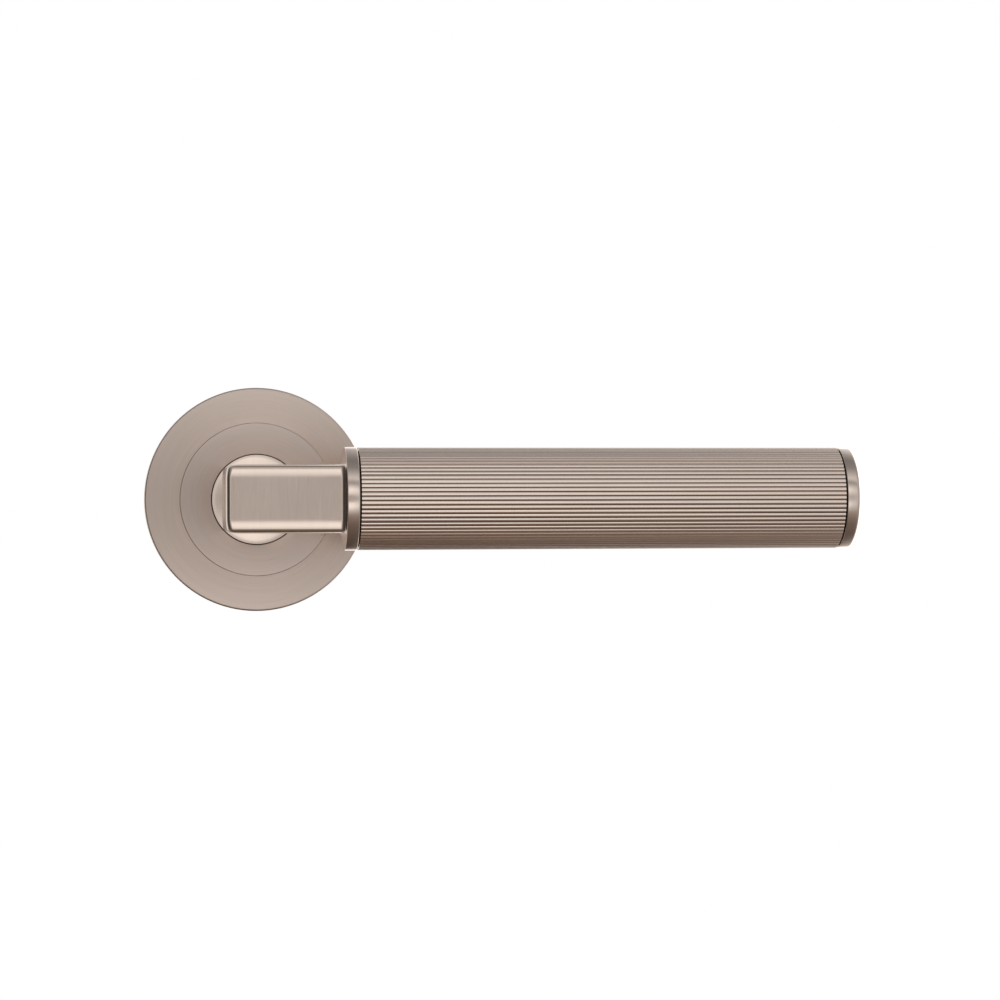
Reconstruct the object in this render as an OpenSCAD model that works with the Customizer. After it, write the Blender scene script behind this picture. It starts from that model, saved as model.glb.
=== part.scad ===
// Lever door handle on a round sprung rose, right-pointing, one side of a pair.
// Each sub-part is drawn in a drawing frame: x to the right, y up, z out of the door,
// with z = 0 on the door's face and the spindle along z. on_door() turns it upright, so the
// finished part has +Z up, the door in the plane y = 0 and the handle in front of it, at -y.

/* [Rose] */
// Diameter of the rose cover
rose_d = 50; // [44:0.5:64]
// Height of the rose cover above the door
rose_t = 10; // [9:0.5:14]
// Side wall of the rose cover
rose_wall = 1; // [0.8:0.1:1.5]
// Front wall of the rose cover
rose_face_t = 1; // [0.8:0.1:1.5]
// Rounding of the rose cover's front edge
rose_edge_r = 0.5; // [0.2:0.1:0.8]
// Diameter of the raised inner disc
disc_d = 34.2; // [30:0.2:41]
// Height of the inner disc above the rose cover
disc_proud = 0.3; // [0.1:0.05:0.5]

/* [Neck] */
// Height and depth of the neck's bar
bar_h = 14.6; // [12:0.2:18]
// Width of the neck's post where it leaves the rose
post_w = 16.4; // [13:0.2:20]
// Rounding of the neck's long edges
edge_r = 1.2; // [0.6:0.1:2]
// Distance from the door to the grip's axis
axis_z = 40; // [33:1:50]
// Distance from the spindle's axis to the collar
collar_x = 17.2; // [14:0.2:24]
// Thickness of the collar
collar_t = 2.65; // [2:0.05:5]
// Rounding of the collar's two edges
collar_edge_r = 0.2; // [0.1:0.1:0.5]
// How much the collar stands above the grip's reeds, on the radius
collar_lip = 0.1; // [0:0.05:0.5]
// Hollow fillet where the bar runs into the collar
flare_r = 1.4; // [0.6:0.1:2]
// Height of the neck's round foot above the rose
foot_proud = 1.2; // [0.8:0.1:2]
// Radius of the foot's domed top
foot_dome_r = 60; // [50:5:120]
// How far the neck's round foot reaches past the journal
foot_rim = 2; // [1.5:0.1:3]

/* [Grip] */
// Diameter over the reeds
grip_d = 22; // [18:0.5:27]
// Length of the reeded sleeve
grip_len = 104.7; // [80:0.1:130]
// Number of reeds round the grip
reeds = 72; // [48:4:96]
// Depth of the grooves between the reeds
reed_depth = 0.4; // [0.2:0.05:0.6]
// Share of each reed's pitch that its rounded crest takes
reed_crest = 0.84; // [0.6:0.02:0.9]
// How far a reed's crest falls away to its edges
reed_round = 0.15; // [0.05:0.01:0.18]
// Bore of the reeded sleeve
grip_bore_d = 16.2; // [13:0.2:16.6]
// Length of the neck's spigot inside the sleeve
spigot_len = 18; // [12:1:24]
// Thickness of the end cap's disc
cap_t = 2.85; // [2:0.05:5]
// Rounding of the end cap's outer edge
cap_edge_r = 0.8; // [0.3:0.1:1]
// Thickness of the washers at both ends of the sleeve
seam_t = 0.3; // [0.2:0.1:0.8]
// Diameter of the tie rod's thread
tie_d = 6; // [5:1:6]

/* [Spindle and bearing] */
// Width across the square spindle
spindle_w = 8; // [6:0.5:9.6]
// Length of the spindle
spindle_len = 95; // [75:1:120]
// Length of the spindle inside the neck, counted from the door's face
spindle_in = 28; // [22:1:31]
// Diameter of the neck's journal
journal_d = 16; // [13:0.2:19.2]
// Wall of the bearing bush
bush_wall = 1; // [0.8:0.1:1.5]
// Running clearance of the journal in the bush, on the radius
run_gap = 0.05; // [0.02:0.01:0.09]
// Diameter of the set screw that clamps the spindle
grub_d = 6; // [4:1:6]

/* [Spring and stops] */
// Diameter of the return spring's wire
wire_d = 1.3; // [1:0.1:1.3]
// Turns of the return spring
coil_turns = 1.75; // [1.25:0.25:1.75]
// Angle that the lever turns down
press_angle = 45; // [30:1:55]
// Thickness of the drive cam
cam_t = 1.5; // [1.2:0.1:1.6]
// Width of the cam's stop arm
cam_arm_w = 4; // [3.5:0.1:5]

/* [Fixings] */
// Distance between the two through bolts
bolt_pitch = 38; // [38:0.2:46]
// Thread diameter of the through bolts
bolt_d = 4; // [3:0.5:4.5]
// How far the through bolts reach behind the door's face
bolt_reach = 58; // [40:1:80]
// Distance between the two wood screws
screw_pitch = 38; // [38:0.2:46]
// Diameter of the wood screws
screw_d = 3.5; // [3:0.1:4]
// How far the wood screws reach behind the door's face
screw_reach = 16; // [10:1:25]
// Diameter of the cover screws' thread
small_screw_d = 2.5; // [2:0.1:3]
// Thickness of the steel back cover
back_t = 0.8; // [0.6:0.1:1]

/* [Hidden] */
$fn = 96;

// Clearances: a slip fit, a slack fit, a face that must not rub, and past a cut surface
fit_gap = 0.03;
slack = 0.3;
face_gap = 0.1;
past = 1;

// Finishes
nickel = [0.70, 0.65, 0.60];
zinc = [0.62, 0.63, 0.65];
steel = [0.55, 0.56, 0.58];
dark_steel = [0.25, 0.25, 0.27];
nylon = [0.06, 0.06, 0.06];
rubber = [0.08, 0.08, 0.08];

// Radii, from the spindle outwards
journal_r = journal_d / 2;
bush_r = journal_r + run_gap + bush_wall;
hub_wall = 1.2;
hub_r = bush_r + fit_gap + hub_wall;
foot_r = journal_r + foot_rim;
bush_rim_r = foot_r + 0.1;
disc_hole_r = bush_rim_r + 0.25;
coil_room = 1.4;
coil_r = hub_r + coil_room + wire_d / 2;
cavity_r = coil_r + wire_d / 2 + coil_room;
cover_gap = 0.6;
base_r = rose_d / 2 - rose_wall - cover_gap;
disc_r = disc_d / 2;
disc_rim = 1.2;

// Heights above the door, from the back forwards
clip_z = back_t + 0.2;
clip_t = 1;
cam_z = clip_z + clip_t + fit_gap;
washer_z = cam_z + cam_t + face_gap;
washer_t = 0.5;
hub_z = washer_z + washer_t + face_gap;
coil_z0 = cam_z + cam_t + 0.15 + wire_d / 2;
lip_z = rose_t - rose_face_t;
disc_flange_t = 0.5;
base_z = lip_z - disc_flange_t - 2 * fit_gap;
web_t = 1;
cavity_z = base_z - web_t;
coil_z1 = cavity_z - 0.05 - wire_d / 2;
bush_rim_t = 0.6;
foot_z = base_z + bush_rim_t + face_gap;
foot_top = rose_t + foot_proud;
post_z = rose_t + disc_proud + 0.2;
journal_z = 0.25;

// Stop arm: it rests left of the top and swings right as the lever goes down
arm_rest = 90 + press_angle / 2;
arm_r = cavity_r - slack;
lug_r = coil_r + wire_d / 2 + 0.2;
lug_span = 18;
flats_w = journal_d * 0.85;

// Return spring: wound so that the lever's travel tightens it
bend_r = wire_d;
leg_tip_z = cam_z + 0.1;
leg_hold = 1.6;
leg_out_r = cavity_r + leg_hold;
spring_end = arm_rest + 360 * coil_turns;

// Along the grip's axis
grip_r = grip_d / 2;
root_r = grip_r - reed_depth;
collar_r = grip_r + collar_lip;
collar_end = collar_x + collar_t;
grip_x0 = collar_end + seam_t;
grip_x1 = grip_x0 + grip_len;
cap_x0 = grip_x1 + seam_t;
bore_r = grip_bore_d / 2;
spigot_r = bore_r - 0.1;
step_w = 1.1;
step_r = bore_r + step_w;
plug_t = 5;
plug_depth = 12.8;
plug_x = grip_x1 - plug_depth;
lock_t = 1.2;
nut_t = 3.2;
lock_x = plug_x + plug_t;
nut_x = lock_x + lock_t;
rod_depth = 5;
rod_x0 = collar_end + rod_depth;
rod_past_nut = 0.8;
rod_x1 = nut_x + nut_t + rod_past_nut;
pin_r = 0.9;
pin_at = (bore_r + root_r) / 2;
pin_in_collar = 1.5;
pin_in_sleeve = 3;
washer_edge = 0.3;
// Half the nut's width across its corners, from the standard widths for its thread
nut_r = tie_d * 0.96;
half_bar = bar_h / 2;
half_post = post_w / 2;
neck_root_r = 4;
grub_up = 8.5;
grub_z = foot_top + grub_up;
grub_sunk = 0.3;
grub_socket = 1.8;
hex_sides = 6;

// Fixings
bolt_r = bolt_d / 2;
bolt_head_r = bolt_d * 0.875;
bolt_head_t = bolt_d * 0.65;
bolt_seat_z = base_z - bolt_head_t - 1.2;
shank_r = bolt_r + 0.4;
bolt_hole_r = shank_r + 0.15;
shank_past = 0.5;
slot_w = 1;
slot_depth = 1.2;
screw_r = screw_d / 2;
screw_hole_r = screw_r + slack;
screw_head_z = base_z - 2.4;
screw_tip = 4;
thread_pitch = 1.6;
thread_depth = 0.4;
cross_len = 3.4;
cross_w = 0.8;
small_r = small_screw_d / 2;
small_len = 4.4;
// The cover screws stand between the other fixings, just inside their circle
cover_screw_r = bolt_pitch / 2 - 0.2;
ring_section_r = 0.68;
ring_z = back_t + 1.6;

module on_door() {
    rotate([90, 0, 0]) children();
}

// Turns a shape drawn along z so that it lies along the grip's axis, from the spindle outwards
module along_grip() {
    translate([0, 0, axis_z]) rotate([0, 90, 0]) children();
}

// A ring round z, from one height to another
module ring(outer_r, inner_r, z0, z1) {
    translate([0, 0, z0]) difference() {
        cylinder(r = outer_r, h = z1 - z0);
        translate([0, 0, -past]) cylinder(r = inner_r, h = z1 - z0 + 2 * past);
    }
}

module rod(radius, z0, z1) {
    translate([0, 0, z0]) cylinder(r = radius, h = z1 - z0);
}

module cone(r0, r1, z0, z1) {
    translate([0, 0, z0]) cylinder(r1 = r0, r2 = r1, h = z1 - z0);
}

module box(x0, x1, y0, y1, z0, z1) {
    translate([x0, y0, z0]) cube([x1 - x0, y1 - y0, z1 - z0]);
}

// A rectangle from corner to corner with its four corners rounded
module round_rect(x0, x1, y0, y1, r) {
    translate([x0 + r, y0]) square([x1 - x0 - 2 * r, y1 - y0]);
    translate([x0, y0 + r]) square([x1 - x0, y1 - y0 - 2 * r]);
    for (x = [x0 + r, x1 - r], y = [y0 + r, y1 - r]) translate([x, y]) circle(r = r);
}

// Half of a disc's section: from the axis out to a rim whose far edge is rounded
module rim_section(radius, z0, z1, r) {
    translate([0, z0]) square([radius, z1 - z0 - r]);
    translate([0, z0]) square([radius - r, z1 - z0]);
    translate([radius - r, z1 - r]) circle(r = r);
}

module at_bolts() {
    for (side = [-1, 1]) translate([side * bolt_pitch / 2, 0, 0]) children();
}

module at_wood_screws() {
    for (side = [-1, 1]) translate([0, side * screw_pitch / 2, 0]) children();
}

module at_cover_screws() {
    for (turn = [45:90:315]) rotate(turn) translate([cover_screw_r, 0, 0]) children();
}

// ---- rose, fixed to the door ----

module outer_rose() {
    color(nickel) on_door() rotate_extrude() difference() {
        rim_section(rose_d / 2, 0, rose_t, rose_edge_r);
        translate([-past, -past]) square([rose_d / 2 - rose_wall + past, lip_z + past]);
        translate([-past, 0]) square([disc_r + 0.1 + past, rose_t + past]);
    }
}

// The disc's hidden flange is trapped between the base plate and the rose cover's lip
module inner_rose() {
    top = rose_t + disc_proud;
    color(nickel) on_door() rotate_extrude() difference() {
        union() {
            rim_section(disc_r, base_z + fit_gap, top, 0.2);
            translate([0, base_z + fit_gap]) square([disc_r + disc_rim, disc_flange_t]);
        }
        translate([-past, 0]) square([disc_hole_r + past, top + past]);
    }
}

module cover_ring() {
    color(rubber) on_door() rotate_extrude()
        translate([rose_d / 2 - rose_wall - ring_section_r - fit_gap, ring_z])
            circle(r = ring_section_r);
}

module stop_lugs() {
    clear_w = cam_arm_w + 4 * fit_gap;
    half_arm = asin(cam_arm_w / 2 / lug_r);
    difference() {
        ring(cavity_r + 0.2, lug_r, cam_z - 0.4, cam_z + cam_t);
        // The swing of the arm, with its width at both ends of the travel
        for (turn = [arm_rest, arm_rest - press_angle]) rotate(turn)
            box(0, cavity_r + past, -clear_w / 2, clear_w / 2, 0, base_z);
        linear_extrude(height = base_z) polygon([
            [0, 0],
            for (turn = [arm_rest - press_angle, 90, arm_rest])
                2 * cavity_r * [cos(turn), sin(turn)]
        ]);
        // Everything past the two lugs
        linear_extrude(height = base_z) polygon([
            [0, 0],
            for (turn = [arm_rest + half_arm + lug_span, 180, 270, 360,
                         360 + arm_rest - press_angle - half_arm - lug_span])
                2 * cavity_r * [cos(turn), sin(turn)]
        ]);
    }
}

module base_plate() {
    groove_r = rose_d / 2 - rose_wall - 2 * ring_section_r - 2 * fit_gap;
    groove_half = ring_section_r + 0.05;
    color(zinc) on_door() difference() {
        union() {
            difference() {
                rod(base_r, back_t, base_z);
                rod(cavity_r, 0, cavity_z);
            }
            rod(hub_r, hub_z, base_z - web_t / 2);
            stop_lugs();
        }
        rod(bush_r + fit_gap, 0, base_z + past);
        // Groove for the rubber ring
        ring(rose_d, groove_r, ring_z - groove_half, ring_z + groove_half);
        at_bolts() {
            rod(bolt_hole_r, 0, base_z + past);
            rod(bolt_head_r + slack, bolt_seat_z, base_z + past);
        }
        at_wood_screws() {
            rod(screw_hole_r, 0, base_z + past);
            cone(screw_hole_r, screw_d + slack, screw_head_z - screw_r, screw_head_z);
            rod(screw_d + slack, screw_head_z, base_z + past);
        }
        at_cover_screws() {
            rod(small_r + fit_gap, 0, back_t + small_len + 0.6);
            cone(small_screw_d, small_r, 0.05, 0.05 + small_r);
        }
        // Slot for the spring's outer leg
        rotate(spring_end) box(coil_r, leg_out_r + 0.3, bend_r - wire_d / 2 - 0.1,
            bend_r + wire_d / 2 + 0.1, coil_z1 - wire_d / 2 - 0.1, cavity_z - 0.02);
    }
}

module back_cover() {
    color(steel) on_door() difference() {
        rod(base_r, 0, back_t - 0.01);
        rod(journal_r + 0.5, -past, back_t + past);
        at_bolts() rod(bolt_hole_r, -past, back_t + past);
        at_wood_screws() rod(screw_hole_r, -past, back_t + past);
        at_cover_screws() {
            rod(small_r + 0.1, -past, back_t + past);
            cone(small_screw_d + 0.1, small_r + 0.1, -0.01, small_r);
        }
    }
}

module cover_screws() {
    color(steel) on_door() at_cover_screws() difference() {
        union() {
            rod(small_r, 0.1, back_t + small_len);
            cone(small_screw_d - 0.1, small_r - 0.1, 0.1, small_r);
        }
        translate([0, 0, -past]) cylinder(r = small_r * 0.6, h = past + 1, $fn = hex_sides);
    }
}

module through_bolts() {
    color(steel) on_door() at_bolts() difference() {
        union() {
            rod(bolt_head_r, bolt_seat_z + 0.02, bolt_seat_z + bolt_head_t);
            rod(shank_r, -shank_past, bolt_seat_z + 0.1);
            rod(bolt_r, -bolt_reach + bolt_r / 2, 0);
            cone(bolt_r / 2, bolt_r, -bolt_reach, -bolt_reach + bolt_r / 2);
        }
        box(-bolt_d, bolt_d, -slot_w / 2, slot_w / 2,
            bolt_seat_z + bolt_head_t - slot_depth, base_z);
    }
}

module wood_screws() {
    core_r = screw_r - thread_depth;
    thread_z = -screw_reach + screw_tip;
    head_z = screw_head_z + 0.15;
    color(steel) on_door() at_wood_screws() difference() {
        union() {
            cone(screw_r, screw_d, head_z - screw_r, head_z);
            rod(screw_r, -screw_tip, head_z - screw_r + 0.05);
            rod(core_r, thread_z, 0);
            cone(0.1, core_r, -screw_reach, thread_z);
            for (z = [thread_z:thread_pitch:-screw_tip - 1]) {
                cone(core_r, screw_r, z, z + 0.5);
                cone(screw_r, core_r, z + 0.5, z + 0.8);
            }
        }
        for (turn = [0, 90]) rotate(turn)
            box(-cross_len / 2, cross_len / 2, -cross_w / 2, cross_w / 2,
                screw_head_z - 1, base_z);
    }
}

module bush() {
    color(nylon) on_door() difference() {
        union() {
            rod(bush_r, hub_z, base_z + 0.01);
            rod(bush_rim_r, base_z, base_z + bush_rim_t);
        }
        rod(journal_r + run_gap, 0, rose_t);
    }
}

// ---- return spring: a wire swept along its own centre line ----

function on_coil(turn, r, side, z) =
    [r * cos(turn) - side * sin(turn), r * sin(turn) + side * cos(turn), z];

function spring_path() = let (
    arc_turn = bend_r / coil_r * 180 / PI,
    rise = coil_z1 - coil_z0,
    first = arm_rest + arc_turn,
    steps = 40
) [
    on_coil(arm_rest, coil_r, 0, leg_tip_z),
    for (a = [0:30:60])
        on_coil(arm_rest + arc_turn * (1 - cos(a)), coil_r, 0, coil_z0 - bend_r * (1 - sin(a))),
    for (i = [0:steps])
        let (share = i / steps)
        on_coil(first + share * (spring_end - first), coil_r, 0, coil_z0 + share * rise),
    for (a = [30:30:90])
        on_coil(spring_end, coil_r + bend_r * (1 - cos(a)), bend_r * sin(a), coil_z1),
    on_coil(spring_end, leg_out_r, bend_r, coil_z1)
];

function unit(v) = v / norm(v);

module swept_wire(path, r, sides) {
    last = len(path) - 1;
    along = [for (i = [0:last]) unit(path[min(i + 1, last)] - path[max(i - 1, 0)])];
    rings = [
        for (i = [0:last])
            let (
                radial = unit([path[i].x, path[i].y, 0]),
                guide = abs(along[i] * radial) < 0.8 ? radial : [0, 0, 1],
                u = unit(cross(along[i], guide)),
                v = cross(along[i], u)
            )
            for (k = [0:sides - 1])
                path[i] + r * (cos(360 * k / sides) * u + sin(360 * k / sides) * v)
    ];
    polyhedron(
        points = rings,
        faces = [
            [for (k = [sides - 1:-1:0]) k],
            for (i = [0:last - 1], k = [0:sides - 1])
                [i * sides + k, i * sides + (k + 1) % sides,
                 (i + 1) * sides + (k + 1) % sides, (i + 1) * sides + k],
            [for (k = [0:sides - 1]) last * sides + k]
        ]
    );
}

module return_spring() {
    color(dark_steel) on_door() swept_wire(spring_path(), wire_d / 2, 10);
}

// ---- lever, turning on the journal ----

module flats(height, extra) {
    intersection() {
        rod(journal_r + extra, 0, height);
        box(-journal_d, journal_d, -flats_w / 2 - extra, flats_w / 2 + extra, -past, height + past);
    }
}

module drive_cam() {
    color(dark_steel) on_door() difference() {
        translate([0, 0, cam_z]) linear_extrude(height = cam_t) {
            circle(r = hub_r + 1);
            intersection() {
                circle(r = arm_r);
                rotate(arm_rest) translate([0, -cam_arm_w / 2]) square([2 * arm_r, cam_arm_w]);
            }
        }
        flats(rose_t, fit_gap);
        rotate(arm_rest) translate([coil_r, 0, 0]) rod(wire_d / 2 + slack, 0, rose_t);
    }
}

module thrust_washer() {
    color(nylon) on_door() ring(hub_r, journal_r + 0.1, washer_z, washer_z + washer_t);
}

module circlip() {
    lug = 1.5;
    spread = 14;
    gap_half = 5;
    eye_r = 0.6;
    color(dark_steel) on_door() translate([0, 0, clip_z]) linear_extrude(height = clip_t) {
        difference() {
            union() {
                translate([0.25, 0]) circle(r = journal_r + 1.2);
                for (side = [-1, 1]) rotate(180 + side * spread)
                    translate([journal_r + 1.2, 0]) circle(r = lug);
            }
            circle(r = journal_r - 0.4 + fit_gap);
            polygon([
                [0, 0],
                for (side = [-1, 1]) 2 * journal_r * [-cos(gap_half), side * sin(gap_half)]
            ]);
            for (side = [-1, 1]) rotate(180 + side * spread)
                translate([journal_r + 1.3, 0]) circle(r = eye_r);
        }
    }
}

module spindle() {
    chamfer = 0.8;
    half = spindle_w / 2;
    back = spindle_in - spindle_len;
    // Just clear of the square's corners, so the cone only trims its back end
    corner_r = half * sqrt(2) + 0.1;
    color(steel) on_door() intersection() {
        box(-half, half, -half, half, back, spindle_in);
        union() {
            cone(corner_r - chamfer, corner_r, back, back + chamfer);
            rod(corner_r, back + chamfer, spindle_in);
        }
    }
}

// Hollow fillet round the bar where it meets the collar
module bar_flare() {
    inset = half_bar - edge_r;
    intersection() {
        along_grip() rod(collar_r - 2 * collar_edge_r, collar_x - flare_r, collar_x);
        along_grip() for (turn = [0:90:270]) rotate(turn) {
            translate([half_bar, -inset, collar_x]) difference() {
                translate([-past, 0, -flare_r]) cube([flare_r + past, 2 * inset, flare_r]);
                translate([flare_r, -past, -flare_r]) rotate([-90, 0, 0])
                    cylinder(r = flare_r, h = 2 * inset + 2 * past);
            }
            translate([inset, inset, collar_x]) rotate_extrude(angle = 90) difference() {
                translate([0, -flare_r]) square([edge_r + flare_r, flare_r]);
                translate([edge_r + flare_r, -flare_r]) circle(r = flare_r);
            }
        }
    }
}

// The bar from the post's outer side to the collar, with every long edge rounded
module bar() {
    front = axis_z + half_bar;
    back = axis_z - half_bar;
    intersection() {
        along_grip() translate([0, 0, -half_post])
            linear_extrude(height = half_post + collar_x + 0.1)
                round_rect(-half_bar, half_bar, -half_bar, half_bar, edge_r);
        translate([0, 0, back - past]) linear_extrude(height = bar_h + 2 * past)
            round_rect(-half_post, collar_x + 3, -half_bar, half_bar, edge_r);
        translate([0, half_bar + past, 0]) rotate([90, 0, 0])
            linear_extrude(height = bar_h + 2 * past)
                round_rect(-half_post, collar_x + 3, back - 3, front, edge_r);
    }
}

module post() {
    back = axis_z - half_bar;
    root = neck_root_r;
    translate([0, 0, post_z]) linear_extrude(height = axis_z - post_z)
        round_rect(-half_post, half_post, -half_bar, half_bar, edge_r);
    // Hollow fillet in the inner corner of the bend
    translate([half_post, 0, back]) difference() {
        box(-past, root, -half_bar + edge_r, half_bar - edge_r, -root, past);
        translate([root, half_bar, -root]) rotate([90, 0, 0]) cylinder(r = root, h = bar_h);
    }
}

module neck() {
    hole_half = spindle_w / 2 + 0.05;
    color(nickel) on_door() difference() {
        union() {
            rotate_extrude() intersection() {
                translate([0, foot_z]) square([foot_r, foot_top - foot_z]);
                translate([0, foot_top - foot_dome_r]) circle(r = foot_dome_r);
            }
            rod(journal_r, cam_z + cam_t, foot_z + 0.1);
            flats(cam_z + cam_t + 0.1, 0);
            post();
            bar();
            bar_flare();
            along_grip() {
                rotate_extrude() intersection() {
                    round_rect(-collar_r, collar_r, collar_x, collar_end, collar_edge_r);
                    square([2 * collar_r, 2 * collar_end]);
                }
                rod(spigot_r, collar_end - 0.1, grip_x0 + spigot_len);
            }
        }
        // Open back of the journal, and the circlip's groove
        rod(journal_r + past, -past, journal_z);
        ring(journal_r + past, journal_r - 0.4, clip_z - fit_gap, clip_z + clip_t + fit_gap);
        box(-hole_half, hole_half, -hole_half, hole_half, -past, spindle_in + 0.2);
        translate([0, 0, grub_z]) rotate([90, 0, 0]) rod(grub_d / 2 + fit_gap, 0, bar_h);
        along_grip() {
            rod(tie_d / 2 + fit_gap, rod_x0 - 0.5, grip_x1);
            translate([0, pin_at, 0])
                rod(pin_r + fit_gap, collar_end - pin_in_collar - 0.1, grip_x0);
        }
    }
}

module grub_screw() {
    color(dark_steel) on_door() translate([0, 0, grub_z]) rotate([90, 0, 0]) difference() {
        rod(grub_d / 2, spindle_w / 2 + 0.02, half_bar - grub_sunk);
        translate([0, 0, half_bar - grub_sunk - grub_socket])
            cylinder(d = grub_d * 0.57, h = grub_socket + past, $fn = hex_sides);
    }
}

module locating_pin() {
    color(steel) on_door() along_grip() translate([0, pin_at, 0])
        rod(pin_r, collar_end - pin_in_collar, grip_x0 + pin_in_sleeve);
}

module seam_washers() {
    color(rubber) on_door() along_grip() {
        difference() {
            ring(root_r - washer_edge, bore_r + 0.2, collar_end + 0.01, grip_x0 - 0.01);
            translate([0, pin_at, 0]) rod(pin_r + fit_gap, 0, grip_x1);
        }
        ring(root_r - washer_edge, step_r, grip_x1 + 0.01, cap_x0 - 0.01);
    }
}

// Outline of the reeded sleeve: each reed has a rounded crest, and a V groove lies between two
module reeded_outline() {
    pitch = 360 / reeds;
    crest = pitch * reed_crest / 2;
    polygon([
        for (i = [0:reeds - 1]) each [
            for (part = [-1:0.5:1])
                let (turn = i * pitch + part * crest, r = grip_r - reed_round * part * part)
                r * [cos(turn), sin(turn)],
            root_r * [cos((i + 0.5) * pitch), sin((i + 0.5) * pitch)]
        ]
    ]);
}

module grip_sleeve() {
    color(nickel) on_door() along_grip() difference() {
        translate([0, 0, grip_x0]) linear_extrude(height = grip_len) reeded_outline();
        rod(bore_r, 0, grip_x1 + past);
        rod(step_r, plug_x, grip_x1 + past);
        translate([0, pin_at, 0]) rod(pin_r + fit_gap, 0, grip_x0 + pin_in_sleeve + 0.2);
    }
}

module tie_rod() {
    color(steel) on_door() along_grip() rod(tie_d / 2, rod_x0, rod_x1);
}

module end_plug() {
    color(steel) on_door() along_grip()
        ring(step_r - 0.05, tie_d / 2 + 0.2, plug_x + 0.01, plug_x + plug_t);
}

module spring_washer() {
    color(dark_steel) on_door() along_grip() difference() {
        ring(tie_d * 0.95, tie_d / 2 + 0.15, lock_x + 0.01, lock_x + lock_t);
        rotate([0, 0, 40]) box(0, tie_d, -0.4, 0.4, lock_x - past, lock_x + lock_t + past);
    }
}

module tie_nut() {
    color(steel) on_door() along_grip() difference() {
        translate([0, 0, nut_x + 0.01])
            cylinder(r = nut_r, h = nut_t - 0.01, $fn = hex_sides);
        rod(tie_d / 2 + fit_gap, 0, cap_x0);
    }
}

module end_cap() {
    color(nickel) on_door() along_grip() difference() {
        union() {
            rotate_extrude() rim_section(grip_r, cap_x0, cap_x0 + cap_t, cap_edge_r);
            rod(step_r - 0.05, lock_x + 0.8, cap_x0 + 0.1);
        }
        rod(nut_r + 0.9, 0, cap_x0 + 0.1);
    }
}

outer_rose();
inner_rose();
cover_ring();
base_plate();
back_cover();
cover_screws();
through_bolts();
wood_screws();
bush();
return_spring();
drive_cam();
thrust_washer();
circlip();
spindle();
neck();
grub_screw();
locating_pin();
seam_washers();
grip_sleeve();
tie_rod();
end_plug();
spring_washer();
tie_nut();
end_cap();
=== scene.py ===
import math

import bmesh
import bpy
import numpy as np
from mathutils import Matrix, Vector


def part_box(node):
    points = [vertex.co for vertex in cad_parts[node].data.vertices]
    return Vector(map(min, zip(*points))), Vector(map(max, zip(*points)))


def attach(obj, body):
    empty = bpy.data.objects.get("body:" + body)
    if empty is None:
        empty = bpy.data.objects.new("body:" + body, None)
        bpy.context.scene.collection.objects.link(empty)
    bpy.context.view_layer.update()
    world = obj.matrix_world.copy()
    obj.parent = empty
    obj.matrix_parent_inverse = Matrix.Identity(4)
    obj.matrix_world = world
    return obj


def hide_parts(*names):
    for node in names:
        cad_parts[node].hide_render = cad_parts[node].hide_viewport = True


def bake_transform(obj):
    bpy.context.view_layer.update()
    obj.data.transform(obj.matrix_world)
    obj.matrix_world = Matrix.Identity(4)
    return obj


# A lever door handle on a round rose. Shapes are worked out in millimetres in a drawing
# frame, x to the right, y up and z out of the door, and put_on_door() turns them upright.
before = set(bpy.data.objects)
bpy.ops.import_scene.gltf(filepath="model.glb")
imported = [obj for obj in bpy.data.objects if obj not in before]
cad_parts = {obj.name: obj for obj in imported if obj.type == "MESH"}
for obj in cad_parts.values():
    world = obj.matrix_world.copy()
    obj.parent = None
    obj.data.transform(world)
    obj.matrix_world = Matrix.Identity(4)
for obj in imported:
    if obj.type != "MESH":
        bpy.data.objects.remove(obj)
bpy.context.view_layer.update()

MM = 0.001


def corners(node):
    """A node's box in the drawing frame, in millimetres: lowest and highest x, y and z."""
    lo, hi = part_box(node)
    return (np.array([lo.x, lo.z, -hi.y]) / MM, np.array([hi.x, hi.z, -lo.y]) / MM)


# ---- sizes, read from the frame ----

rose_lo, rose_hi = corners("outer_rose")
disc_lo, disc_hi = corners("inner_rose")
neck_hi = corners("neck")[1]
sleeve_lo, sleeve_hi = corners("grip_sleeve")
cap_lo, cap_hi = corners("end_cap")
seam_lo, seam_hi = corners("seam_washers")
bush_hi = corners("bush")[1]
spindle_lo, spindle_hi = corners("spindle")
grub_lo, grub_hi = corners("grub_screw")
cam_hi = corners("drive_cam")[1]
clip_lo, clip_hi = corners("circlip")
rod_lo, rod_hi = corners("tie_rod")
pin_lo, pin_hi = corners("locating_pin")
plug_lo, plug_hi = corners("end_plug")
nut_hi = corners("tie_nut")[1]
bolt_lo, bolt_hi = corners("through_bolts")
screw_lo, screw_hi = corners("wood_screws")

# Gaps left between neighbours: at a seam that is seen, and round what goes into a hole
seam_gap = 0.08
hole_gap = 0.03

# Rose: pressed cover and the disc that shows in its opening
rose_r = rose_hi[0]
rose_front = rose_hi[2]
rose_edge = 0.5
rose_wall = 1.0
disc_front = disc_hi[2]
disc_rim = 1.2
disc_flange = 0.5
disc_r = disc_hi[0] - disc_rim
disc_hole_r = bush_hi[0] + seam_gap

# Grip: reeded tube, its seams and the plain cap
axis_z = (sleeve_lo[2] + sleeve_hi[2]) / 2
grip_r = sleeve_hi[1]
grip_x0 = sleeve_lo[0]
grip_x1 = sleeve_hi[0]
bore_r = 8.1
step_r = plug_hi[1] + 0.05
reeds = 72
reed_depth = 0.4
reed_crest = 0.84
reed_round = 0.13
cap_edge = 0.8

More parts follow.
